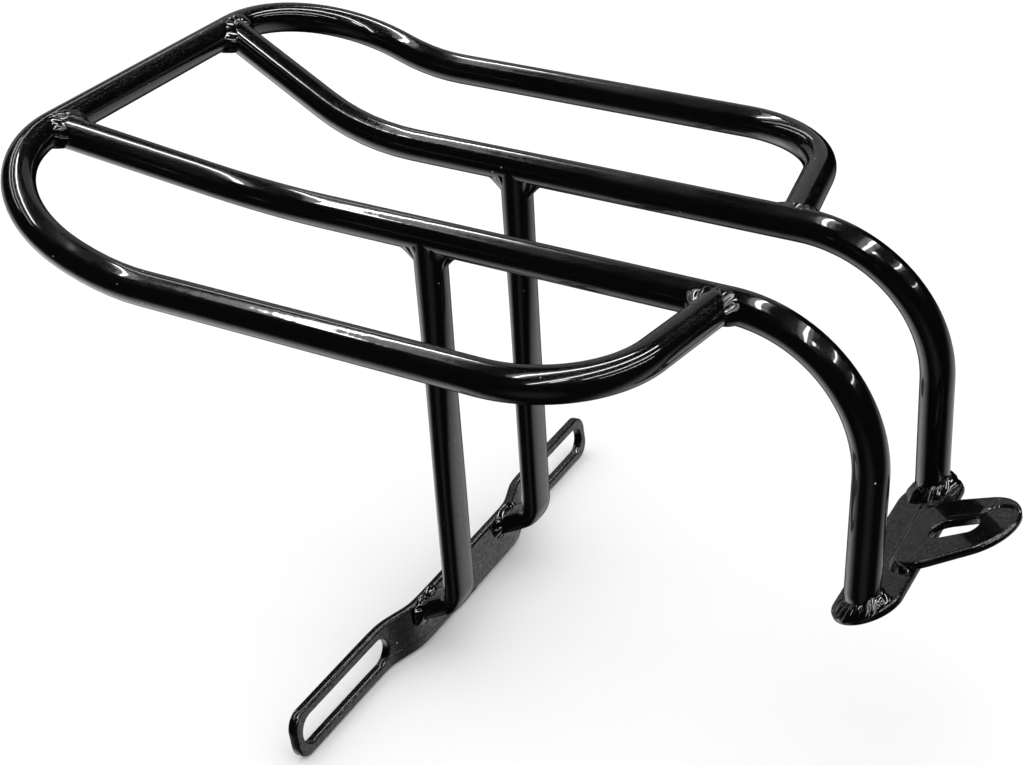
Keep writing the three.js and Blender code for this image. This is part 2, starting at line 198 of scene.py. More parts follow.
ceiling = 0.0
for row, left, right, core, panel in (
        (-1.74, -0.60, 1.10, 22, 1.4), (-1.04, -0.62, 1.12, 26, 1.5), (-0.48, -1.60, 1.00, 30, 1.8),
        (-0.62, -0.95, -0.45, 30, 1.0), (0.04, -0.52, 0.90, 30, 2.2), (0.60, -0.37, 0.80, 30, 2.2),
        (0.95, -0.70, 1.55, 7, 0.8), (1.38, -0.50, 1.10, 14, 0.5)):
    lamp = nodes.new("ShaderNodeGroup")
    lamp.node_tree = LAMP_ROW
    links.new(across_ceiling, lamp.inputs["Across"])
    links.new(along_ceiling, lamp.inputs["Along"])
    for label, value in zip(("Row", "Left", "Right", "Core", "Panel"), (row, left, right, core, panel)):
        lamp.inputs[label].default_value = value
    ceiling = maths(nodes, links, "ADD", lamp.outputs["Glow"], ceiling)
overhead = maths(nodes, links, "GREATER_THAN", heading.outputs["Z"], 0.06)
glow = maths(nodes, links, "MULTIPLY", ceiling, overhead)
for towards, inner, outer, radiance in (
        ((0.58, -0.50, -0.60), 14, 44, 0.72),
        ((0.63, 0.78, -0.04), 19.8, 20.3, 0.26),
        ((0.87, 0.31, 0.38), 18.8, 19.3, 0.30),
        ((-0.12, 0.64, -0.76), 8, 36, 1.30),
        ((0.20, 0.85, -0.48), 8, 34, 0.60),
        ((-0.80, -0.30, -0.52), 5, 30, 0.16)):
    glow = maths(nodes, links, "ADD", glow, room_card(nodes, links, direction, towards, inner, outer, radiance))
light_path = nodes.new("ShaderNodeLightPath").outputs
glow = maths(nodes, links, "MULTIPLY", glow, light_path["Is Glossy Ray"])
glow = maths(nodes, links, "ADD", glow, light_path["Is Camera Ray"])
links.new(glow, nodes["Background"].inputs["Color"])


# ---- The paint --------------------------------------------------------------------------------------
# Gloss black powder coat over the whole weldment. It flows out to a mirror with a faint orange peel,
# holds a few specks of dust, and its coat is mottled thinner in places.

def group_of(name, inputs, outputs):
    """An empty shader node group with the given float inputs and (kind, name) outputs."""
    group = bpy.data.node_groups.new(name, "ShaderNodeTree")
    for label, value in inputs:
        group.interface.new_socket(label, in_out="INPUT", socket_type="NodeSocketFloat").default_value = value
    for kind, label in outputs:
        group.interface.new_socket(label, in_out="OUTPUT", socket_type=kind)
    return group, group.nodes.new("NodeGroupInput"), group.nodes.new("NodeGroupOutput")


def orange_peel_group():
    """Bump from two noises: slow waves a few millimetres long, and the fine grain of the powder."""
    group, given, made = group_of(
        "orange_peel",
        [("Wave Scale", 130), ("Wave Height", 1), ("Grain Scale", 1300), ("Grain Height", 0.2)],
        [("NodeSocketVector", "Normal")])
    nodes, links = group.nodes, group.links
    place = nodes.new("ShaderNodeTexCoord")
    normal = None
    for label in ("Wave", "Grain"):
        noise = nodes.new("ShaderNodeTexNoise")
        noise.inputs["Detail"].default_value = 2
        links.new(place.outputs["Object"], noise.inputs["Vector"])
        links.new(given.outputs[f"{label} Scale"], noise.inputs["Scale"])
        tall = maths(nodes, links, "MULTIPLY", noise.outputs["Fac"], given.outputs[f"{label} Height"])
        bump = nodes.new("ShaderNodeBump")
        bump.inputs["Distance"].default_value = 0.0001
        links.new(tall, bump.inputs["Height"])
        if normal:
            links.new(normal, bump.inputs["Normal"])
        normal = bump.outputs["Normal"]
    links.new(normal, made.inputs["Normal"])
    return group


def dust_group():
    """A mask of round specks: the middles of a few of the cells of a Voronoi pattern, each of its own size."""
    group, given, made = group_of(
        "dust_specks", [("Scale", 260), ("Speck Size", 0.07), ("Share", 0.2)], [("NodeSocketFloat", "Mask")])
    nodes, links = group.nodes, group.links
    cells = nodes.new("ShaderNodeTexVoronoi")
    links.new(nodes.new("ShaderNodeTexCoord").outputs["Object"], cells.inputs["Vector"])
    links.new(given.outputs["Scale"], cells.inputs["Scale"])
    luck = nodes.new("ShaderNodeSeparateColor")
    links.new(cells.outputs["Color"], luck.inputs["Color"])
    size = maths(nodes, links, "MULTIPLY", given.outputs["Speck Size"], luck.outputs["Green"])
    near = maths(nodes, links, "LESS_THAN", cells.outputs["Distance"], size)
    chosen = maths(nodes, links, "LESS_THAN", luck.outputs["Red"], given.outputs["Share"])
    links.new(maths(nodes, links, "MULTIPLY", near, chosen), made.inputs["Mask"])
    return group


ORANGE_PEEL = orange_peel_group()
DUST_SPECKS = dust_group()


def black_paint(name, black, wave_height, grain_height, dust_share, haze, under, thinnest):
    """Gloss black: a clear mirror coat over a softer black, hazed by a broad noise and broken by dust.

    The coat's weight is mottled by a fine noise, down to its thinnest.
    """
    material = bpy.data.materials.new(name)
    material.use_nodes = True
    nodes, links = material.node_tree.nodes, material.node_tree.links
    paint = nodes["Principled BSDF"]
    paint.inputs["IOR"].default_value = 1.5
    paint.inputs["Coat Roughness"].default_value = 0.02
    paint.inputs["Specular IOR Level"].default_value = under
    paint.inputs["Coat IOR"].default_value = 1.5

    peel = nodes.new("ShaderNodeGroup")
    peel.node_tree = ORANGE_PEEL
    peel.inputs["Wave Height"].default_value = wave_height
    peel.inputs["Grain Height"].default_value = grain_height
    links.new(peel.outputs["Normal"], paint.inputs["Normal"])
    links.new(peel.outputs["Normal"], paint.inputs["Coat Normal"])

    dust = nodes.new("ShaderNodeGroup")
    dust.node_tree = DUST_SPECKS
    dust.inputs["Share"].default_value = dust_share
    colour = nodes.new("ShaderNodeMix")
    colour.data_type = "RGBA"
    colour.inputs["A"].default_value = (*black, 1)
    colour.inputs["B"].default_value = (0.55, 0.55, 0.53, 1)
    links.new(dust.outputs["Mask"], colour.inputs["Factor"])
    links.new(colour.outputs["Result"], paint.inputs["Base Color"])

    mottle = nodes.new("ShaderNodeTexNoise")
    mottle.inputs["Scale"].default_value = 700
    mottle.inputs["Detail"].default_value = 3
    links.new(nodes.new("ShaderNodeTexCoord").outputs["Object"], mottle.inputs["Vector"])
    coat = nodes.new("ShaderNodeMapRange")
    coat.inputs["From Min"].default_value = 0.38
    coat.inputs["From Max"].default_value = 0.58
    coat.inputs["To Min"].default_value = thinnest
    coat.inputs["To Max"].default_value = 1.0
    links.new(mottle.outputs["Fac"], coat.inputs["Value"])
    links.new(coat.outputs["Result"], paint.inputs["Coat Weight"])

    smear = nodes.new("ShaderNodeTexNoise")
    smear.inputs["Scale"].default_value = 35
    smear.inputs["Detail"].default_value = 5
    links.new(nodes.new("ShaderNodeTexCoord").outputs["Object"], smear.inputs["Vector"])
    rough = nodes.new("ShaderNodeMapRange")
    rough.inputs["From Min"].default_value = 0.35
    rough.inputs["From Max"].default_value = 0.70
    rough.inputs["To Min"].default_value = haze
    rough.inputs["To Max"].default_value = haze + 0.14
    links.new(smear.outputs["Fac"], rough.inputs["Value"])
    links.new(rough.outputs["Result"], paint.inputs["Roughness"])
    return material


BLACK = (0.002, 0.002, 0.002)
BAR_PAINT = black_paint("gloss_black_on_bar", BLACK, 0.45, 0.008, 0.30, 0.16, 0.10, 0.85)
PLATE_PAINT = black_paint("gloss_black_on_plate", BLACK, 0.5, 0.04, 0.30, 0.26, 0.08, 0.45)
WELD_PAINT = black_paint("gloss_black_on_weld", BLACK, 0.5, 0.05, 0.10, 0.10, 0.10, 0.90)


def finished(name, points, faces, node, paint):
    """A smooth mesh from an array of points and rows of faces. It stands for its CAD node and rides on root."""
    mesh = bpy.data.meshes.new(name)
    mesh.from_pydata(points.reshape(-1, 3).tolist(), [], faces)
    mesh.validate()
    mesh.shade_smooth()
    mesh.materials.append(paint)
    piece = bpy.data.objects.new(name, mesh)
    scene.collection.objects.link(piece)
    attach(piece, "root")
    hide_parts(node)
    return piece


# ---- The outer hoop ---------------------------------------------------------------------------------
# One half-inch bar bent in a single plane round the deck, with both sides kicked up towards the
# tail. Its two front ends sweep in to the rails, where they are coped and welded.

BAR = 0.0127
FINE_TURN = math.radians(3)
BAR_SIDES = 56

hoop_low, hoop_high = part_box("outer_hoop")
deck_z = hoop_low.z + BAR / 2
tail_z = hoop_high.z - BAR / 2
tail_y = hoop_high.y - BAR / 2
hoop_x = hoop_high.x - BAR / 2

HOOP_CORNER_RADII = [0.044, 0.086, 0.055]       # front corner, kick, rear corner
HOOP_KICK = 0.067                               # the kick's corner, ahead of the tail bar
HOOP_SWEEP = 0.012
RAIL_X = 0.0335
RAIL_BEND_RADIUS = 0.054
FOOT_PITCH = math.radians(28)
FOOT_SPACING = 0.080
FOOT_CENTRE = 0.02305                           # of the foot plate, down the slope from the slot
DROP_LEAN = 0.004

foot_y, foot_z = FOOT_CENTRE * math.cos(FOOT_PITCH), -FOOT_CENTRE * math.sin(FOOT_PITCH)
rail_bend_y = foot_y + DROP_LEAN
hoop_front = np.array([RAIL_X, rail_bend_y + RAIL_BEND_RADIUS + 0.001, deck_z])


def bent_line(corners, radii):
    """Straight runs through the corners, with an arc of its radius at each inner corner.

    An arc starts radius times tan(half the turn) before its corner. Its points are the centre plus
    the start's offset times the cosine of the angle, plus the first run's direction times the
    radius and the sine.
    """
    corners = np.asarray(corners, float)
    runs = np.diff(corners, axis=0)
    runs /= np.linalg.norm(runs, axis=1)[:, None]
    line = [corners[:1]]
    for before, after, corner, radius in zip(runs[:-1], runs[1:], corners[1:-1], radii):
        turn = math.acos(before @ after)
        start = corner - before * radius * math.tan(turn / 2)
        inwards = after - before * (after @ before)
        inwards /= np.linalg.norm(inwards)
        angle = np.linspace(0, turn, max(6, int(turn / FINE_TURN)))[:, None]
        line.append(start + radius * (before * np.sin(angle) + inwards * (1 - np.cos(angle))))
    return np.vstack([*line, corners[-1:]])


def spaced(line, longest):
    """The same line, with points added so that no step is longer than the given one."""
    steps = np.linalg.norm(np.diff(line, axis=0), axis=1)
    counts = np.maximum(1, np.ceil(steps / longest).astype(int))
    pieces = [a + (b - a) * (np.arange(n) / n)[:, None] for a, b, n in zip(line[:-1], line[1:], counts)]
    return np.vstack([*pieces, line[-1:]])


def turned_to(line, reference):
    """Unit tangent, side and rise at each point: side is the reference made square to the tangent."""
    steps = np.diff(line, axis=0)
    steps /= np.linalg.norm(steps, axis=1)[:, None]
    tangent = np.vstack([steps[:1], steps[:-1] + steps[1:], steps[-1:]])
    tangent /= np.linalg.norm(tangent, axis=1)[:, None]
    side = reference - tangent * (tangent @ reference)[:, None]
    side /= np.linalg.norm(side, axis=1)[:, None]
    return tangent, side, np.cross(tangent, side)


def swept(line, reference, across, along):
    """A section carried along a line: each point is the line's plus across times side plus along times rise."""
    _, side, rise = turned_to(line, reference)
    return line[:, None] + across[..., None] * side[:, None] + along[..., None] * rise[:, None]


def tube_faces(rows, columns, closed_rows=False):
    """Quads of a grid that wraps round its columns, with a flat cap at each end unless its rows wrap too."""
    row, column = np.meshgrid(np.arange(rows if closed_rows else rows - 1), np.arange(columns), indexing="ij")
    next_row, next_column = (row + 1) % rows, (column + 1) % columns
    quads = np.stack([row * columns + column, next_row * columns + column,
                      next_row * columns + next_column, row * columns + next_column], -1)
    faces = quads.reshape(-1, 4).tolist()
    if not closed_rows:
        faces += [list(range(columns)), [(rows - 1) * columns + c for c in reversed(range(columns))]]
    return faces


def round_bar(line, reference, radius=BAR / 2):
    """Points of a round bar: cosine and sine of the angle times the radius, at each point of the line."""
    angle = np.linspace(0, 2 * math.pi, BAR_SIDES, endpoint=False)[None] + np.zeros((len(line), 1))
    return swept(line, reference, radius * np.cos(angle), radius * np.sin(angle))


def mirrored(line):
    """The line across the bike's middle plane: x changes sign, and the points come in the other order."""
    return np.asarray(line)[::-1] * (-1, 1, 1)


hoop_half = [hoop_front, (hoop_x, hoop_front[1] + HOOP_SWEEP, deck_z), (hoop_x, tail_y - HOOP_KICK, deck_z),
             (hoop_x, tail_y, tail_z)]
hoop_line = spaced(bent_line([*hoop_half, *mirrored(hoop_half)], HOOP_CORNER_RADII + HOOP_CORNER_RADII[::-1]), 0.006)
finished("hoop_bar", round_bar(hoop_line, Z), tube_faces(len(hoop_line), BAR_SIDES), "outer_hoop", BAR_PAINT)


# ---- The rails --------------------------------------------------------------------------------------
# Two bars of the same stock. Each runs from the tail bar down the kick, level along the deck and
# round a wide bend, then drops to the foot plate. They splay towards the tail.

RAIL_KICK = 0.081
RAIL_KICK_RADIUS = 0.120

rail_rear = np.array([hoop_x - HOOP_CORNER_RADII[2], tail_y, tail_z])
rail_kick = np.array([RAIL_X, tail_y - RAIL_KICK, deck_z])
rail_bend = np.array([RAIL_X, rail_bend_y, deck_z])
rail_foot = np.array([FOOT_SPACING / 2, foot_y, foot_z])
rail_corners = [rail_foot, rail_bend, rail_kick, rail_rear]
rail_line = spaced(bent_line(rail_corners, [RAIL_BEND_RADIUS, RAIL_KICK_RADIUS]), 0.006)

for hand, sign in (("left", 1), ("right", -1)):
    points = round_bar(rail_line * (sign, 1, 1), X)
    finished(f"{hand}_rail_bar", points, tube_faces(len(rail_line), BAR_SIDES), f"rail_{hand}", BAR_PAINT)


# ---- The legs ---------------------------------------------------------------------------------------
# Bars of the same stock under the rails. The press has squashed each one to a flat with soft
# corners on the way down, and its toe turns back to butt on the cross strap.

LEG_TOP_Y = 0.193
LEG_CORNER = np.array([RAIL_X, 0.185, -0.070])
LEG_TOE_ANGLE = math.radians(57)
LEG_TOE_LENGTH = 0.0182
LEG_TOE_RADIUS = 0.009
PRESSED_WIDTH = 0.016
PRESSED_DEPTH = 0.0087
PRESSED_CORNER = 0.70                           # the power on cosine and sine: 1 is an ellipse
PRESS_RUN = (0.005, 0.115)                      # distances down the leg

toe = np.array([0, math.sin(LEG_TOE_ANGLE), -math.cos(LEG_TOE_ANGLE)])
leg_top = np.array([RAIL_X, LEG_TOP_Y, deck_z])
leg_end = LEG_CORNER + toe * LEG_TOE_LENGTH
leg_line = spaced(bent_line([leg_top, LEG_CORNER, leg_end], [LEG_TOE_RADIUS]), 0.002)


def smooth_step(value, low, high):
    """0 at low, 1 at high, and 3 times the share squared less twice its cube between them."""
    share = np.clip((value - low) / (high - low), 0, 1)
    return share * share * (3 - 2 * share)


def pressed_bar(line):
    """A superellipse that grows from a circle: half width times |cosine| to a power, with the cosine's sign,
    and half depth times |sine| to the same power. Widths and power all follow the press down the line."""
    down = np.concatenate([[0], np.cumsum(np.linalg.norm(np.diff(line, axis=0), axis=1))])
    press = smooth_step(down, *PRESS_RUN)[:, None]
    angle = np.linspace(0, 2 * math.pi, BAR_SIDES, endpoint=False)[None]
    power = 1 + (PRESSED_CORNER - 1) * press ** 2
    half_width = BAR / 2 + (PRESSED_WIDTH - BAR) / 2 * press
    half_depth = BAR / 2 + (PRESSED_DEPTH - BAR) / 2 * press
    cosine, sine = np.cos(angle), np.sin(angle)
    return swept(line, X, half_width * np.sign(cosine) * np.abs(cosine) ** power,
                 half_depth * np.sign(sine) * np.abs(sine) ** power)


for hand, sign in (("left", 1), ("right", -1)):
    points = pressed_bar(leg_line * (sign, 1, 1))
    finished(f"{hand}_leg_bar", points, tube_faces(len(leg_line), BAR_SIDES), f"leg_{hand}", BAR_PAINT)


# ---- The foot plate and the seat tab ------------------------------------------------------------------
# Two pieces of 3 mm flat steel, pitched nose up to lie on the fender. The tab has a round nose and a
# long slot for the seat bolt, and its tail laps over the plate that ties the two drops together.
# A curved step in the nose runs from the slot's front end to the rim.

PLATE = 0.003
PLATE_EDGE = 0.0009
ROUND_STEPS = 5
FOOT_HALF_LENGTH = 0.04855
FOOT_HALF_WIDTH = 0.01325
TAB_NOSE = (-0.0063, 0.0182)                    # centre along the slope, and radius
TAB_TAIL = (0.0095, 0.0075, 0.0125)             # corner's centre across and along, and radius
TAB_SLOT = (0.0055, 0.0040)                     # half width, and centres of the round ends
CREASE_REACH = 0.0094                           # the step in the nose bows this far to the left,
CREASE_MIDDLE = -0.0142                         # here, and meets the slot and the rim
CREASE_HALF = 0.0126                            # this far either way along the slope
CREASE_RISE = 0.0007

slope_down = np.array([0, math.cos(FOOT_PITCH), -math.sin(FOOT_PITCH)])
slope_out = np.array([0, math.sin(FOOT_PITCH), math.cos(FOOT_PITCH)])


def arc(centre, radius, start, end, count):
    """Points and outward normals of an arc: the centre plus the radius times (cosine, sine)."""
    angle = np.linspace(start, end, count)
    out = np.stack([np.cos(angle), np.sin(angle)], -1)
    return np.asarray(centre) + radius * out, out


def rounded_rim(line, out, edge, thickness):
    """Half round of a plate's rim, from its top face to its underside: the line moved in by edge times
    (1 - sine), at a height of half the thickness less edge times (1 - cosine)."""
    angle = np.linspace(0, math.pi / 2, ROUND_STEPS)
    inset, lift = edge * (1 - np.sin(angle)), thickness / 2 - edge * (1 - np.cos(angle))
    inset, lift = np.concatenate([inset, inset[::-1]]), np.concatenate([lift, -lift[::-1]])
    flat = line[:, None] - out[:, None] * inset[None, :, None]
    return np.concatenate([flat, np.broadcast_to(lift[None, :, None], (*flat.shape[:2], 1))], -1)


def plate_shell(hole, outline, thickness, face_steps):
    """A plate between two closed lines, each (points, outward normals, edge radius), as a closed grid.

    Across the grid it runs over the top face in straight lines from the hole to the outline, round
    the rim, back under, and up the wall of the hole.
    """
    outer = rounded_rim(*outline, thickness)
    inner = rounded_rim(*hole, thickness)[:, ::-1]
    share = np.linspace(0, 1, face_steps + 2)[1:-1][None, :, None]
    top = inner[:, -1:] * (1 - share) + outer[:, :1] * share
    under = outer[:, -1:] * (1 - share) + inner[:, :1] * share
    return np.concatenate([top, outer, under, inner], 1)


def on_slope(flat, height):
    """Plate coordinates (across, down the slope, up from the plate) to the frame's."""
    return flat[..., :1] * X + flat[..., 1:2] * slope_down + (flat[..., 2:] + height) * slope_out


def closed(piece):
    """Joins the points that meet, drops faces with no area, and works the normals out again."""
    shell = bmesh.new()
    shell.from_mesh(piece.data)
    bmesh.ops.remove_doubles(shell, verts=shell.verts, dist=1e-6)
    bmesh.ops.dissolve_degenerate(shell, edges=shell.edges, dist=1e-7)
    bmesh.ops.recalc_face_normals(shell, faces=shell.faces)
    shell.to_mesh(piece.data)
    shell.free()
    return piece


def foot_plate():
    """Straight sides and half-round ends. The top face runs out from the plate's middle line."""
    reach = FOOT_HALF_LENGTH - FOOT_HALF_WIDTH
    side_steps = np.linspace(-reach, reach, 30)[1:-1]
    right, right_out = arc((reach, FOOT_CENTRE), FOOT_HALF_WIDTH, -math.pi / 2, math.pi / 2, 40)
    left, left_out = arc((-reach, FOOT_CENTRE), FOOT_HALF_WIDTH, math.pi / 2, 1.5 * math.pi, 40)
    far = np.stack([side_steps[::-1], np.full(28, FOOT_CENTRE + FOOT_HALF_WIDTH)], -1)
    near = np.stack([side_steps, np.full(28, FOOT_CENTRE - FOOT_HALF_WIDTH)], -1)
    line = np.vstack([right, far, left, near])
    out = np.vstack([right_out, np.tile((0, 1), (28, 1)), left_out, np.tile((0, -1), (28, 1))])
    middle = np.stack([np.clip(line[:, 0], -reach, reach), np.full(len(line), FOOT_CENTRE)], -1)
    shell = plate_shell((middle, -out, 0), (line, out, PLATE_EDGE), PLATE, 10)
    points = on_slope(shell, -0.0003 - PLATE / 2)
    return finished("foot_plate_flat", points, tube_faces(*shell.shape[:2], closed_rows=True),
                    "foot_plate", PLATE_PAINT)


def seat_tab():
    """The nose's arc, then each tail corner's, on their common tangents; the slot's ends match them."""
    run = TAB_TAIL[1] - TAB_NOSE[0]
    tangent = math.atan2(run, TAB_TAIL[0]) - math.acos((TAB_NOSE[1] - TAB_TAIL[2]) / math.hypot(run, TAB_TAIL[0]))
    right = arc(TAB_TAIL[:2], TAB_TAIL[2], tangent, math.pi / 2, 30)
    left = arc((-TAB_TAIL[0], TAB_TAIL[1]), TAB_TAIL[2], math.pi / 2, math.pi - tangent, 30)
    nose = arc((0, TAB_NOSE[0]), TAB_NOSE[1], math.pi - tangent, 2 * math.pi + tangent, 180)
    line, out = np.vstack([right[0], left[0], nose[0]]), np.vstack([right[1], left[1], nose[1]])
    turn = np.unwrap(np.arctan2(line[:, 1], line[:, 0]))
    slot_out = np.stack([np.cos(turn), np.sin(turn)], -1)
    slot = TAB_SLOT[0] * slot_out + np.stack([0 * turn, TAB_SLOT[1] * np.clip(3 * np.sin(turn), -1, 1)], -1)
    shell = plate_shell((slot, -slot_out, 0.0006), (line, out, 0.0014), PLATE, 34)
    across, down = shell[..., 0], shell[..., 1]
    crease = CREASE_REACH * (1 - ((down - CREASE_MIDDLE) / CREASE_HALF) ** 2)
    beyond = smooth_step(across - crease, -0.0006, 0.0006) * smooth_step(-down, 0.0072, 0.0088)
    shell[..., 2] += CREASE_RISE * beyond
    points = on_slope(shell, PLATE / 2)
    return finished("seat_tab_flat", points, tube_faces(*shell.shape[:2], closed_rows=True),
                    "seat_tab", PLATE_PAINT)


closed(foot_plate())
closed(seat_tab())


# ---- The cross strap ----------------------------------------------------------------------------------
# A 20 by 4 mm flat across the bike. Just outside each leg it steps back, and each end has a long slot
# for a fender bolt. Its faces stay rough-rolled under the paint, and its edges are broken.

STRAP_HALF_LENGTH = 0.122
STRAP_HALF_HEIGHT = 0.010
STRAP_THICK = 0.004
STRAP_EDGE = 0.0007
STRAP_CORNER = 0.007
STRAP_LEAN = math.radians(8)
STRAP_DROP = 0.0054
STEP_BACK = 0.006
STEP_START = RAIL_X + PRESSED_WIDTH / 2
STEP_END = STEP_START + 0.015
SLOT_HALF_WIDTH = 0.00625
SLOT_ENDS = (STEP_END + 0.0005 + SLOT_HALF_WIDTH, STRAP_HALF_LENGTH - 0.004 - SLOT_HALF_WIDTH)

strap_up = np.array([0, math.sin(STRAP_LEAN), math.cos(STRAP_LEAN)])
strap_back = np.array([0, math.cos(STRAP_LEAN), -math.sin(STRAP_LEAN)])
strap_middle = leg_end * (0, 1, 1) - strap_up * STRAP_DROP


def straight(start, end, count, out):
    """Points from start up to, but not at, end, and one normal for them all."""
    share = (np.arange(count) / count)[:, None]
    return np.asarray(start) * (1 - share) + np.asarray(end) * share, np.tile(out, (count, 1))


def strap_end():
    """Half the strap as a shell round its slot, from the middle of the strap to its rounded end."""
    inner, outer = SLOT_ENDS
    high, wide, round_off = STRAP_HALF_HEIGHT, SLOT_HALF_WIDTH, STRAP_CORNER
    tip = STRAP_HALF_LENGTH - round_off
    quarter = math.pi / 2
    outline = [
        straight((0, high), (inner, high), 60, (0, 1)),
        straight((inner, high), (tip, high), 40, (0, 1)),
        arc((tip, high - round_off), round_off, quarter, 0, 20),
        straight((STRAP_HALF_LENGTH, high - round_off), (STRAP_HALF_LENGTH, round_off - high), 8, (1, 0)),
        arc((tip, round_off - high), round_off, 0, -quarter, 20),
        straight((tip, -high), (inner, -high), 40, (0, -1)),
        straight((inner, -high), (0, -high), 60, (0, -1)),
        straight((0, -high), (0, high), 24, (0, 0)),
    ]
    slot = [
        arc((inner, 0), wide, 1.25 * math.pi - quarter, quarter, 60),
        straight((inner, wide), (outer, wide), 40, (0, 1)),
        arc((outer, 0), wide, quarter, -quarter, 48),
        straight((outer, -wide), (inner, -wide), 40, (0, -1)),
        arc((inner, 0), wide, -quarter, -0.75 * math.pi, 60),
        arc((inner, 0), wide, -0.75 * math.pi, -1.25 * math.pi, 24),
    ]
    line, out = (np.vstack(part) for part in zip(*outline))
    hole, hole_out = (np.vstack(part) for part in zip(*slot))
    edge = np.where(np.abs(out).sum(1) > 0, STRAP_EDGE, 0)[:, None]
    return plate_shell((hole, -hole_out, 0.0005), (line, out * edge / STRAP_EDGE, STRAP_EDGE), STRAP_THICK, 44)


half_strap = strap_end()


def stepped(flat):
    """Strap coordinates (across, up, forward from the middle of the thickness) to the frame's.

    The strap's middle surface goes back by a smooth step of the distance across, and the thickness
    is laid off square to it.
    """
    distance = np.abs(flat[..., 0])
    run = STEP_END - STEP_START
    ease = 0.004
    share = (distance - STEP_START) / run
    bend = np.sqrt(share ** 2 + (ease / run) ** 2) - np.sqrt((share - 1) ** 2 + (ease / run) ** 2)
    back = STEP_BACK * (bend + 1) / 2
    slope = STEP_BACK / 2 / run * (share / np.sqrt(share ** 2 + (ease / run) ** 2)
                                   - (share - 1) / np.sqrt((share - 1) ** 2 + (ease / run) ** 2))
    square = 1 / np.sqrt(1 + slope ** 2)
    x = flat[..., 0] + np.sign(flat[..., 0]) * flat[..., 2] * slope * square
    depth = back + STRAP_THICK / 2 - flat[..., 2] * square
    return strap_middle + x[..., None] * X + flat[..., 1:2] * strap_up + depth[..., None] * strap_back


both = np.stack([half_strap, half_strap * (-1, 1, 1)])
rows, columns = half_strap.shape[:2]
faces = tube_faces(rows, columns, closed_rows=True)
faces += [[i + rows * columns for i in reversed(face)] for face in faces]
flat_points = both.reshape(-1, 3)
faces = [face for face in faces if np.abs(flat_points[face, 0]).max() > 1e-7]
closed(finished("cross_strap_flat", stepped(both), faces, "cross_strap", PLATE_PAINT))


# ---- The welds ----------------------------------------------------------------------------------------
# Hand-laid arc welds, painted over with the rest. Each is a low fillet of overlapping ripples with
# a few lumps where the arc stopped, heaviest at the legs' tops and at the rails' rear ends.

RIPPLE = 0.0031                                 # length of one ripple
FACE_SIDES = 22
BEAD_STEPS = 260


def lumps(turn, seed, waves):
    """A slow wave round a bead: tanh of the sum of cosines of 2, 3, 4... turns, at seeded phases, over root waves."""
    phases = np.random.default_rng(seed).uniform(0, 2 * math.pi, waves)
    return np.tanh(sum(np.cos((k + 2) * turn + phase) for k, phase in enumerate(phases)) / math.sqrt(waves))


def fillet(seam, wall, wall_out, flat_out, leg, bulge, turn, ripples, seed, taper=1.0, settle=lambda toe: toe):
    """A bead along a seam between a wall and the face it stands on. Its buried back folds on to one line.

    wall points up the wall, wall_out and flat_out out of the wall and out of the face. The toes lie a
    leg up the wall and a leg out along the face, where settle drops the second on to the metal.
    Between them the bead's face bulges by a share of the leg, more where the two run flush, and a
    scalloped ripple crosses it in crescents, deep in some stretches and drawn out smooth in others.
    """
    def unit(vectors):
        return vectors / np.linalg.norm(vectors, axis=-1, keepdims=True)

    away = wall_out - wall
    away = unit(away - flat_out * (away * flat_out).sum(1, keepdims=True))
    flush = np.clip((wall_out * flat_out).sum(1), 0, 1)[:, None]
    reach = leg * (taper * (1 + 0.14 * lumps(turn, seed, 7)))[:, None] * (1 - 0.35 * flush)
    upper = seam + wall * reach - wall_out * 0.0003
    lower = settle(seam + away * reach * (1 + 0.14 * lumps(turn, seed + 7, 9))[:, None]) - flat_out * 0.0003
    outwards = unit(wall_out + flat_out)
    roll = np.linspace(0, math.pi, FACE_SIDES)[None]
    share = (1 - np.cos(roll)) / 2
    phase = ripples * turn[:, None] / 2 + 0.8 * lumps(turn, seed + 3, 4)[:, None] + 1.5 * (share - 0.5) ** 2
    ripple = (np.abs(np.sin(phase)) - 0.65) * (0.6 + 0.5 * lumps(turn, seed + 5, 3))[:, None]
    swell = bulge + 0.12 * flush + (0.12 + 0.4 * bulge) * ripple + 0.07 * lumps(turn, seed + 11, 9)[:, None]
    face = upper[:, None] * (1 - share[..., None]) + lower[:, None] * share[..., None]
    face = face + outwards[:, None] * (reach * swell * np.sin(roll))[..., None]
    depth = 0.45 * reach * np.sin(np.linspace(math.pi, 0, 8)[None, 1:-1])
    return np.concatenate([face, seam[:, None] - outwards[:, None] * depth[..., None]], 1)


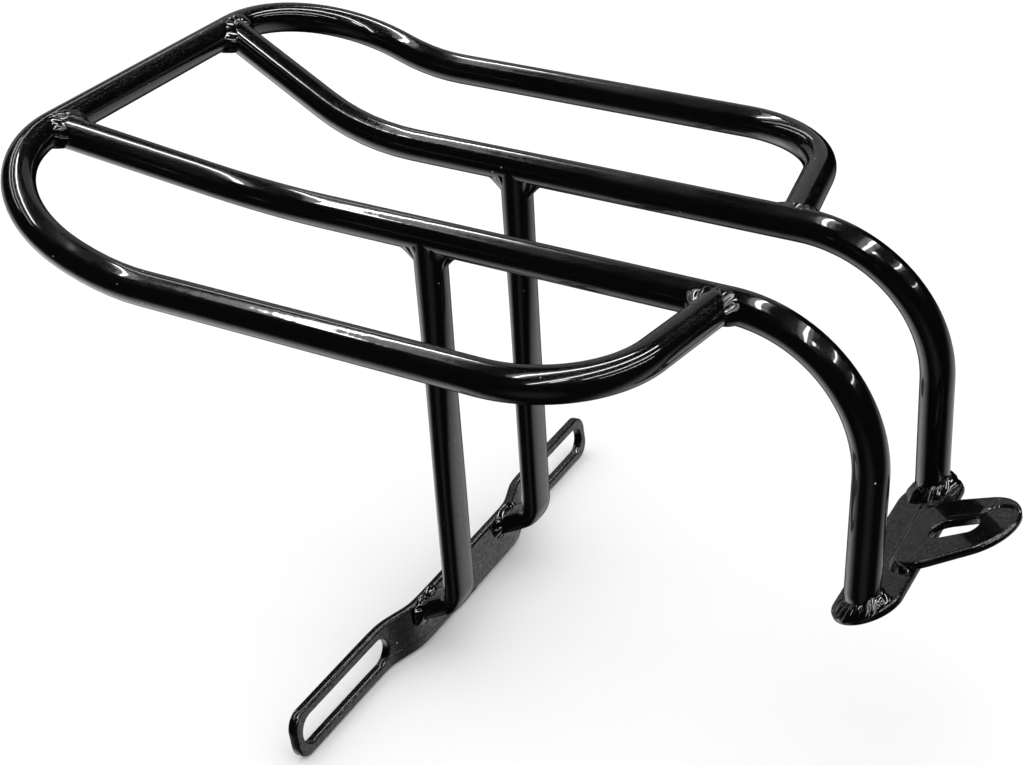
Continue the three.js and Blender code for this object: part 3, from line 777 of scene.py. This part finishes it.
def ring_fillet(end, start, half_width, half_depth, target, leg, bulge, seed):
    """The fillet round the end of a bar. Its seam is the bar's ellipse, slid along the bar to the target.

    A target bar is met at the smaller root of the ray's quadratic, or where the ray passes nearest;
    a target face where the ray crosses its plane.
    """
    along = (end - start) / np.linalg.norm(end - start)
    rise = np.cross(along, X)
    rise /= np.linalg.norm(rise)
    side = np.cross(rise, along)
    turn = np.linspace(0, 2 * math.pi, BEAD_STEPS, endpoint=False)
    wall_out = np.cos(turn)[:, None] * side * half_depth + np.sin(turn)[:, None] * rise * half_width
    wall_out /= np.linalg.norm(wall_out, axis=1)[:, None]
    wall = start + half_width * np.cos(turn)[:, None] * side + half_depth * np.sin(turn)[:, None] * rise
    kind, point, direction = target

    def from_axis(points):
        return points - point - direction * ((points - point) @ direction)[:, None]

    def on_bar(points):
        return points + from_axis(points) * (BAR / 2 / np.linalg.norm(from_axis(points), axis=1) - 1)[:, None]

    def on_face(points):
        return points

    if kind == "bar":
        offset = from_axis(wall)
        travel = along - direction * (along @ direction)
        a, b, c = travel @ travel, offset @ travel, (offset ** 2).sum(1) - (BAR / 2) ** 2
        seam = wall + along * ((-b - np.sqrt(np.maximum(0, b * b - a * c))) / a)[:, None]
        flat_out = from_axis(seam) / np.linalg.norm(from_axis(seam), axis=1)[:, None]
    else:
        seam = wall + along * ((point - wall) @ direction / (along @ direction))[:, None]
        flat_out = np.tile(direction, (BEAD_STEPS, 1))
    length = np.linalg.norm(np.roll(seam, -1, 0) - seam, axis=1).sum()
    settle = on_bar if kind == "bar" else on_face
    return fillet(seam, -along, wall_out, flat_out, leg, bulge, turn, round(length / RIPPLE), seed, settle=settle)


bar_wall = (BAR / 2, BAR / 2)
leg_wall = (PRESSED_WIDTH / 2, PRESSED_DEPTH / 2)
ring_welds = (
    ("rail_rear", rail_rear, rail_kick, bar_wall, ("bar", rail_rear, X), 0.0044, 0.10, 11),
    ("hoop_front", hoop_front, hoop_half[1], bar_wall, ("bar", rail_kick, Y), 0.0038, 0.08, 23),
    ("leg_top", leg_top, LEG_CORNER, bar_wall, ("bar", rail_kick, Y), 0.0056, -0.10, 37),
    ("leg_foot", leg_end, LEG_CORNER, leg_wall, ("face", strap_middle, -strap_back), 0.0028, 0.16, 41),
    ("drop", rail_foot, rail_bend, bar_wall, ("face", -0.0003 * slope_out, slope_out), 0.0042, 0.14, 59),
)
for place, end, start, section, target, leg, bulge, seed in ring_welds:
    for hand, sign in (("left", 1), ("right", -1)):
        bead = ring_fillet(end, np.asarray(start), *section, target, leg, bulge, seed + 200 * (sign > 0))
        closed(finished(f"{place}_bead_{hand}", bead * (sign, 1, 1), tube_faces(*bead.shape[:2], closed_rows=True),
                        f"weld_{place}_{hand}", WELD_PAINT))


def tab_bead():
    """One run of weld round the tab's tail, on the foot plate, thinning out at its two ends."""
    start = math.asin((FOOT_CENTRE - FOOT_HALF_WIDTH + 0.0015 - TAB_TAIL[1]) / TAB_TAIL[2])
    right, right_out = arc(TAB_TAIL[:2], TAB_TAIL[2], start, math.pi / 2, 110)
    line = np.vstack([right, right[::-1] * (-1, 1)])
    out = np.vstack([right_out, right_out[::-1] * (-1, 1)])
    flat = np.zeros((len(line), 1))
    steps = np.linalg.norm(np.diff(line, axis=0), axis=1)
    turn = 2 * math.pi * np.concatenate([[0], np.cumsum(steps)]) / steps.sum()
    taper = np.sqrt(np.clip(1 - np.abs(turn / math.pi - 1) ** 10, 0.02, 1))
    bead = fillet(on_slope(np.hstack([line, flat]), -0.0003), slope_out, on_slope(np.hstack([out, flat]), 0),
                  np.tile(slope_out, (len(line), 1)), 0.0026, 0.10, turn, round(steps.sum() / RIPPLE), 71, taper)
    return finished("seat_tab_bead", bead, tube_faces(*bead.shape[:2]), "weld_seat_tab", WELD_PAINT)


closed(tab_bead())
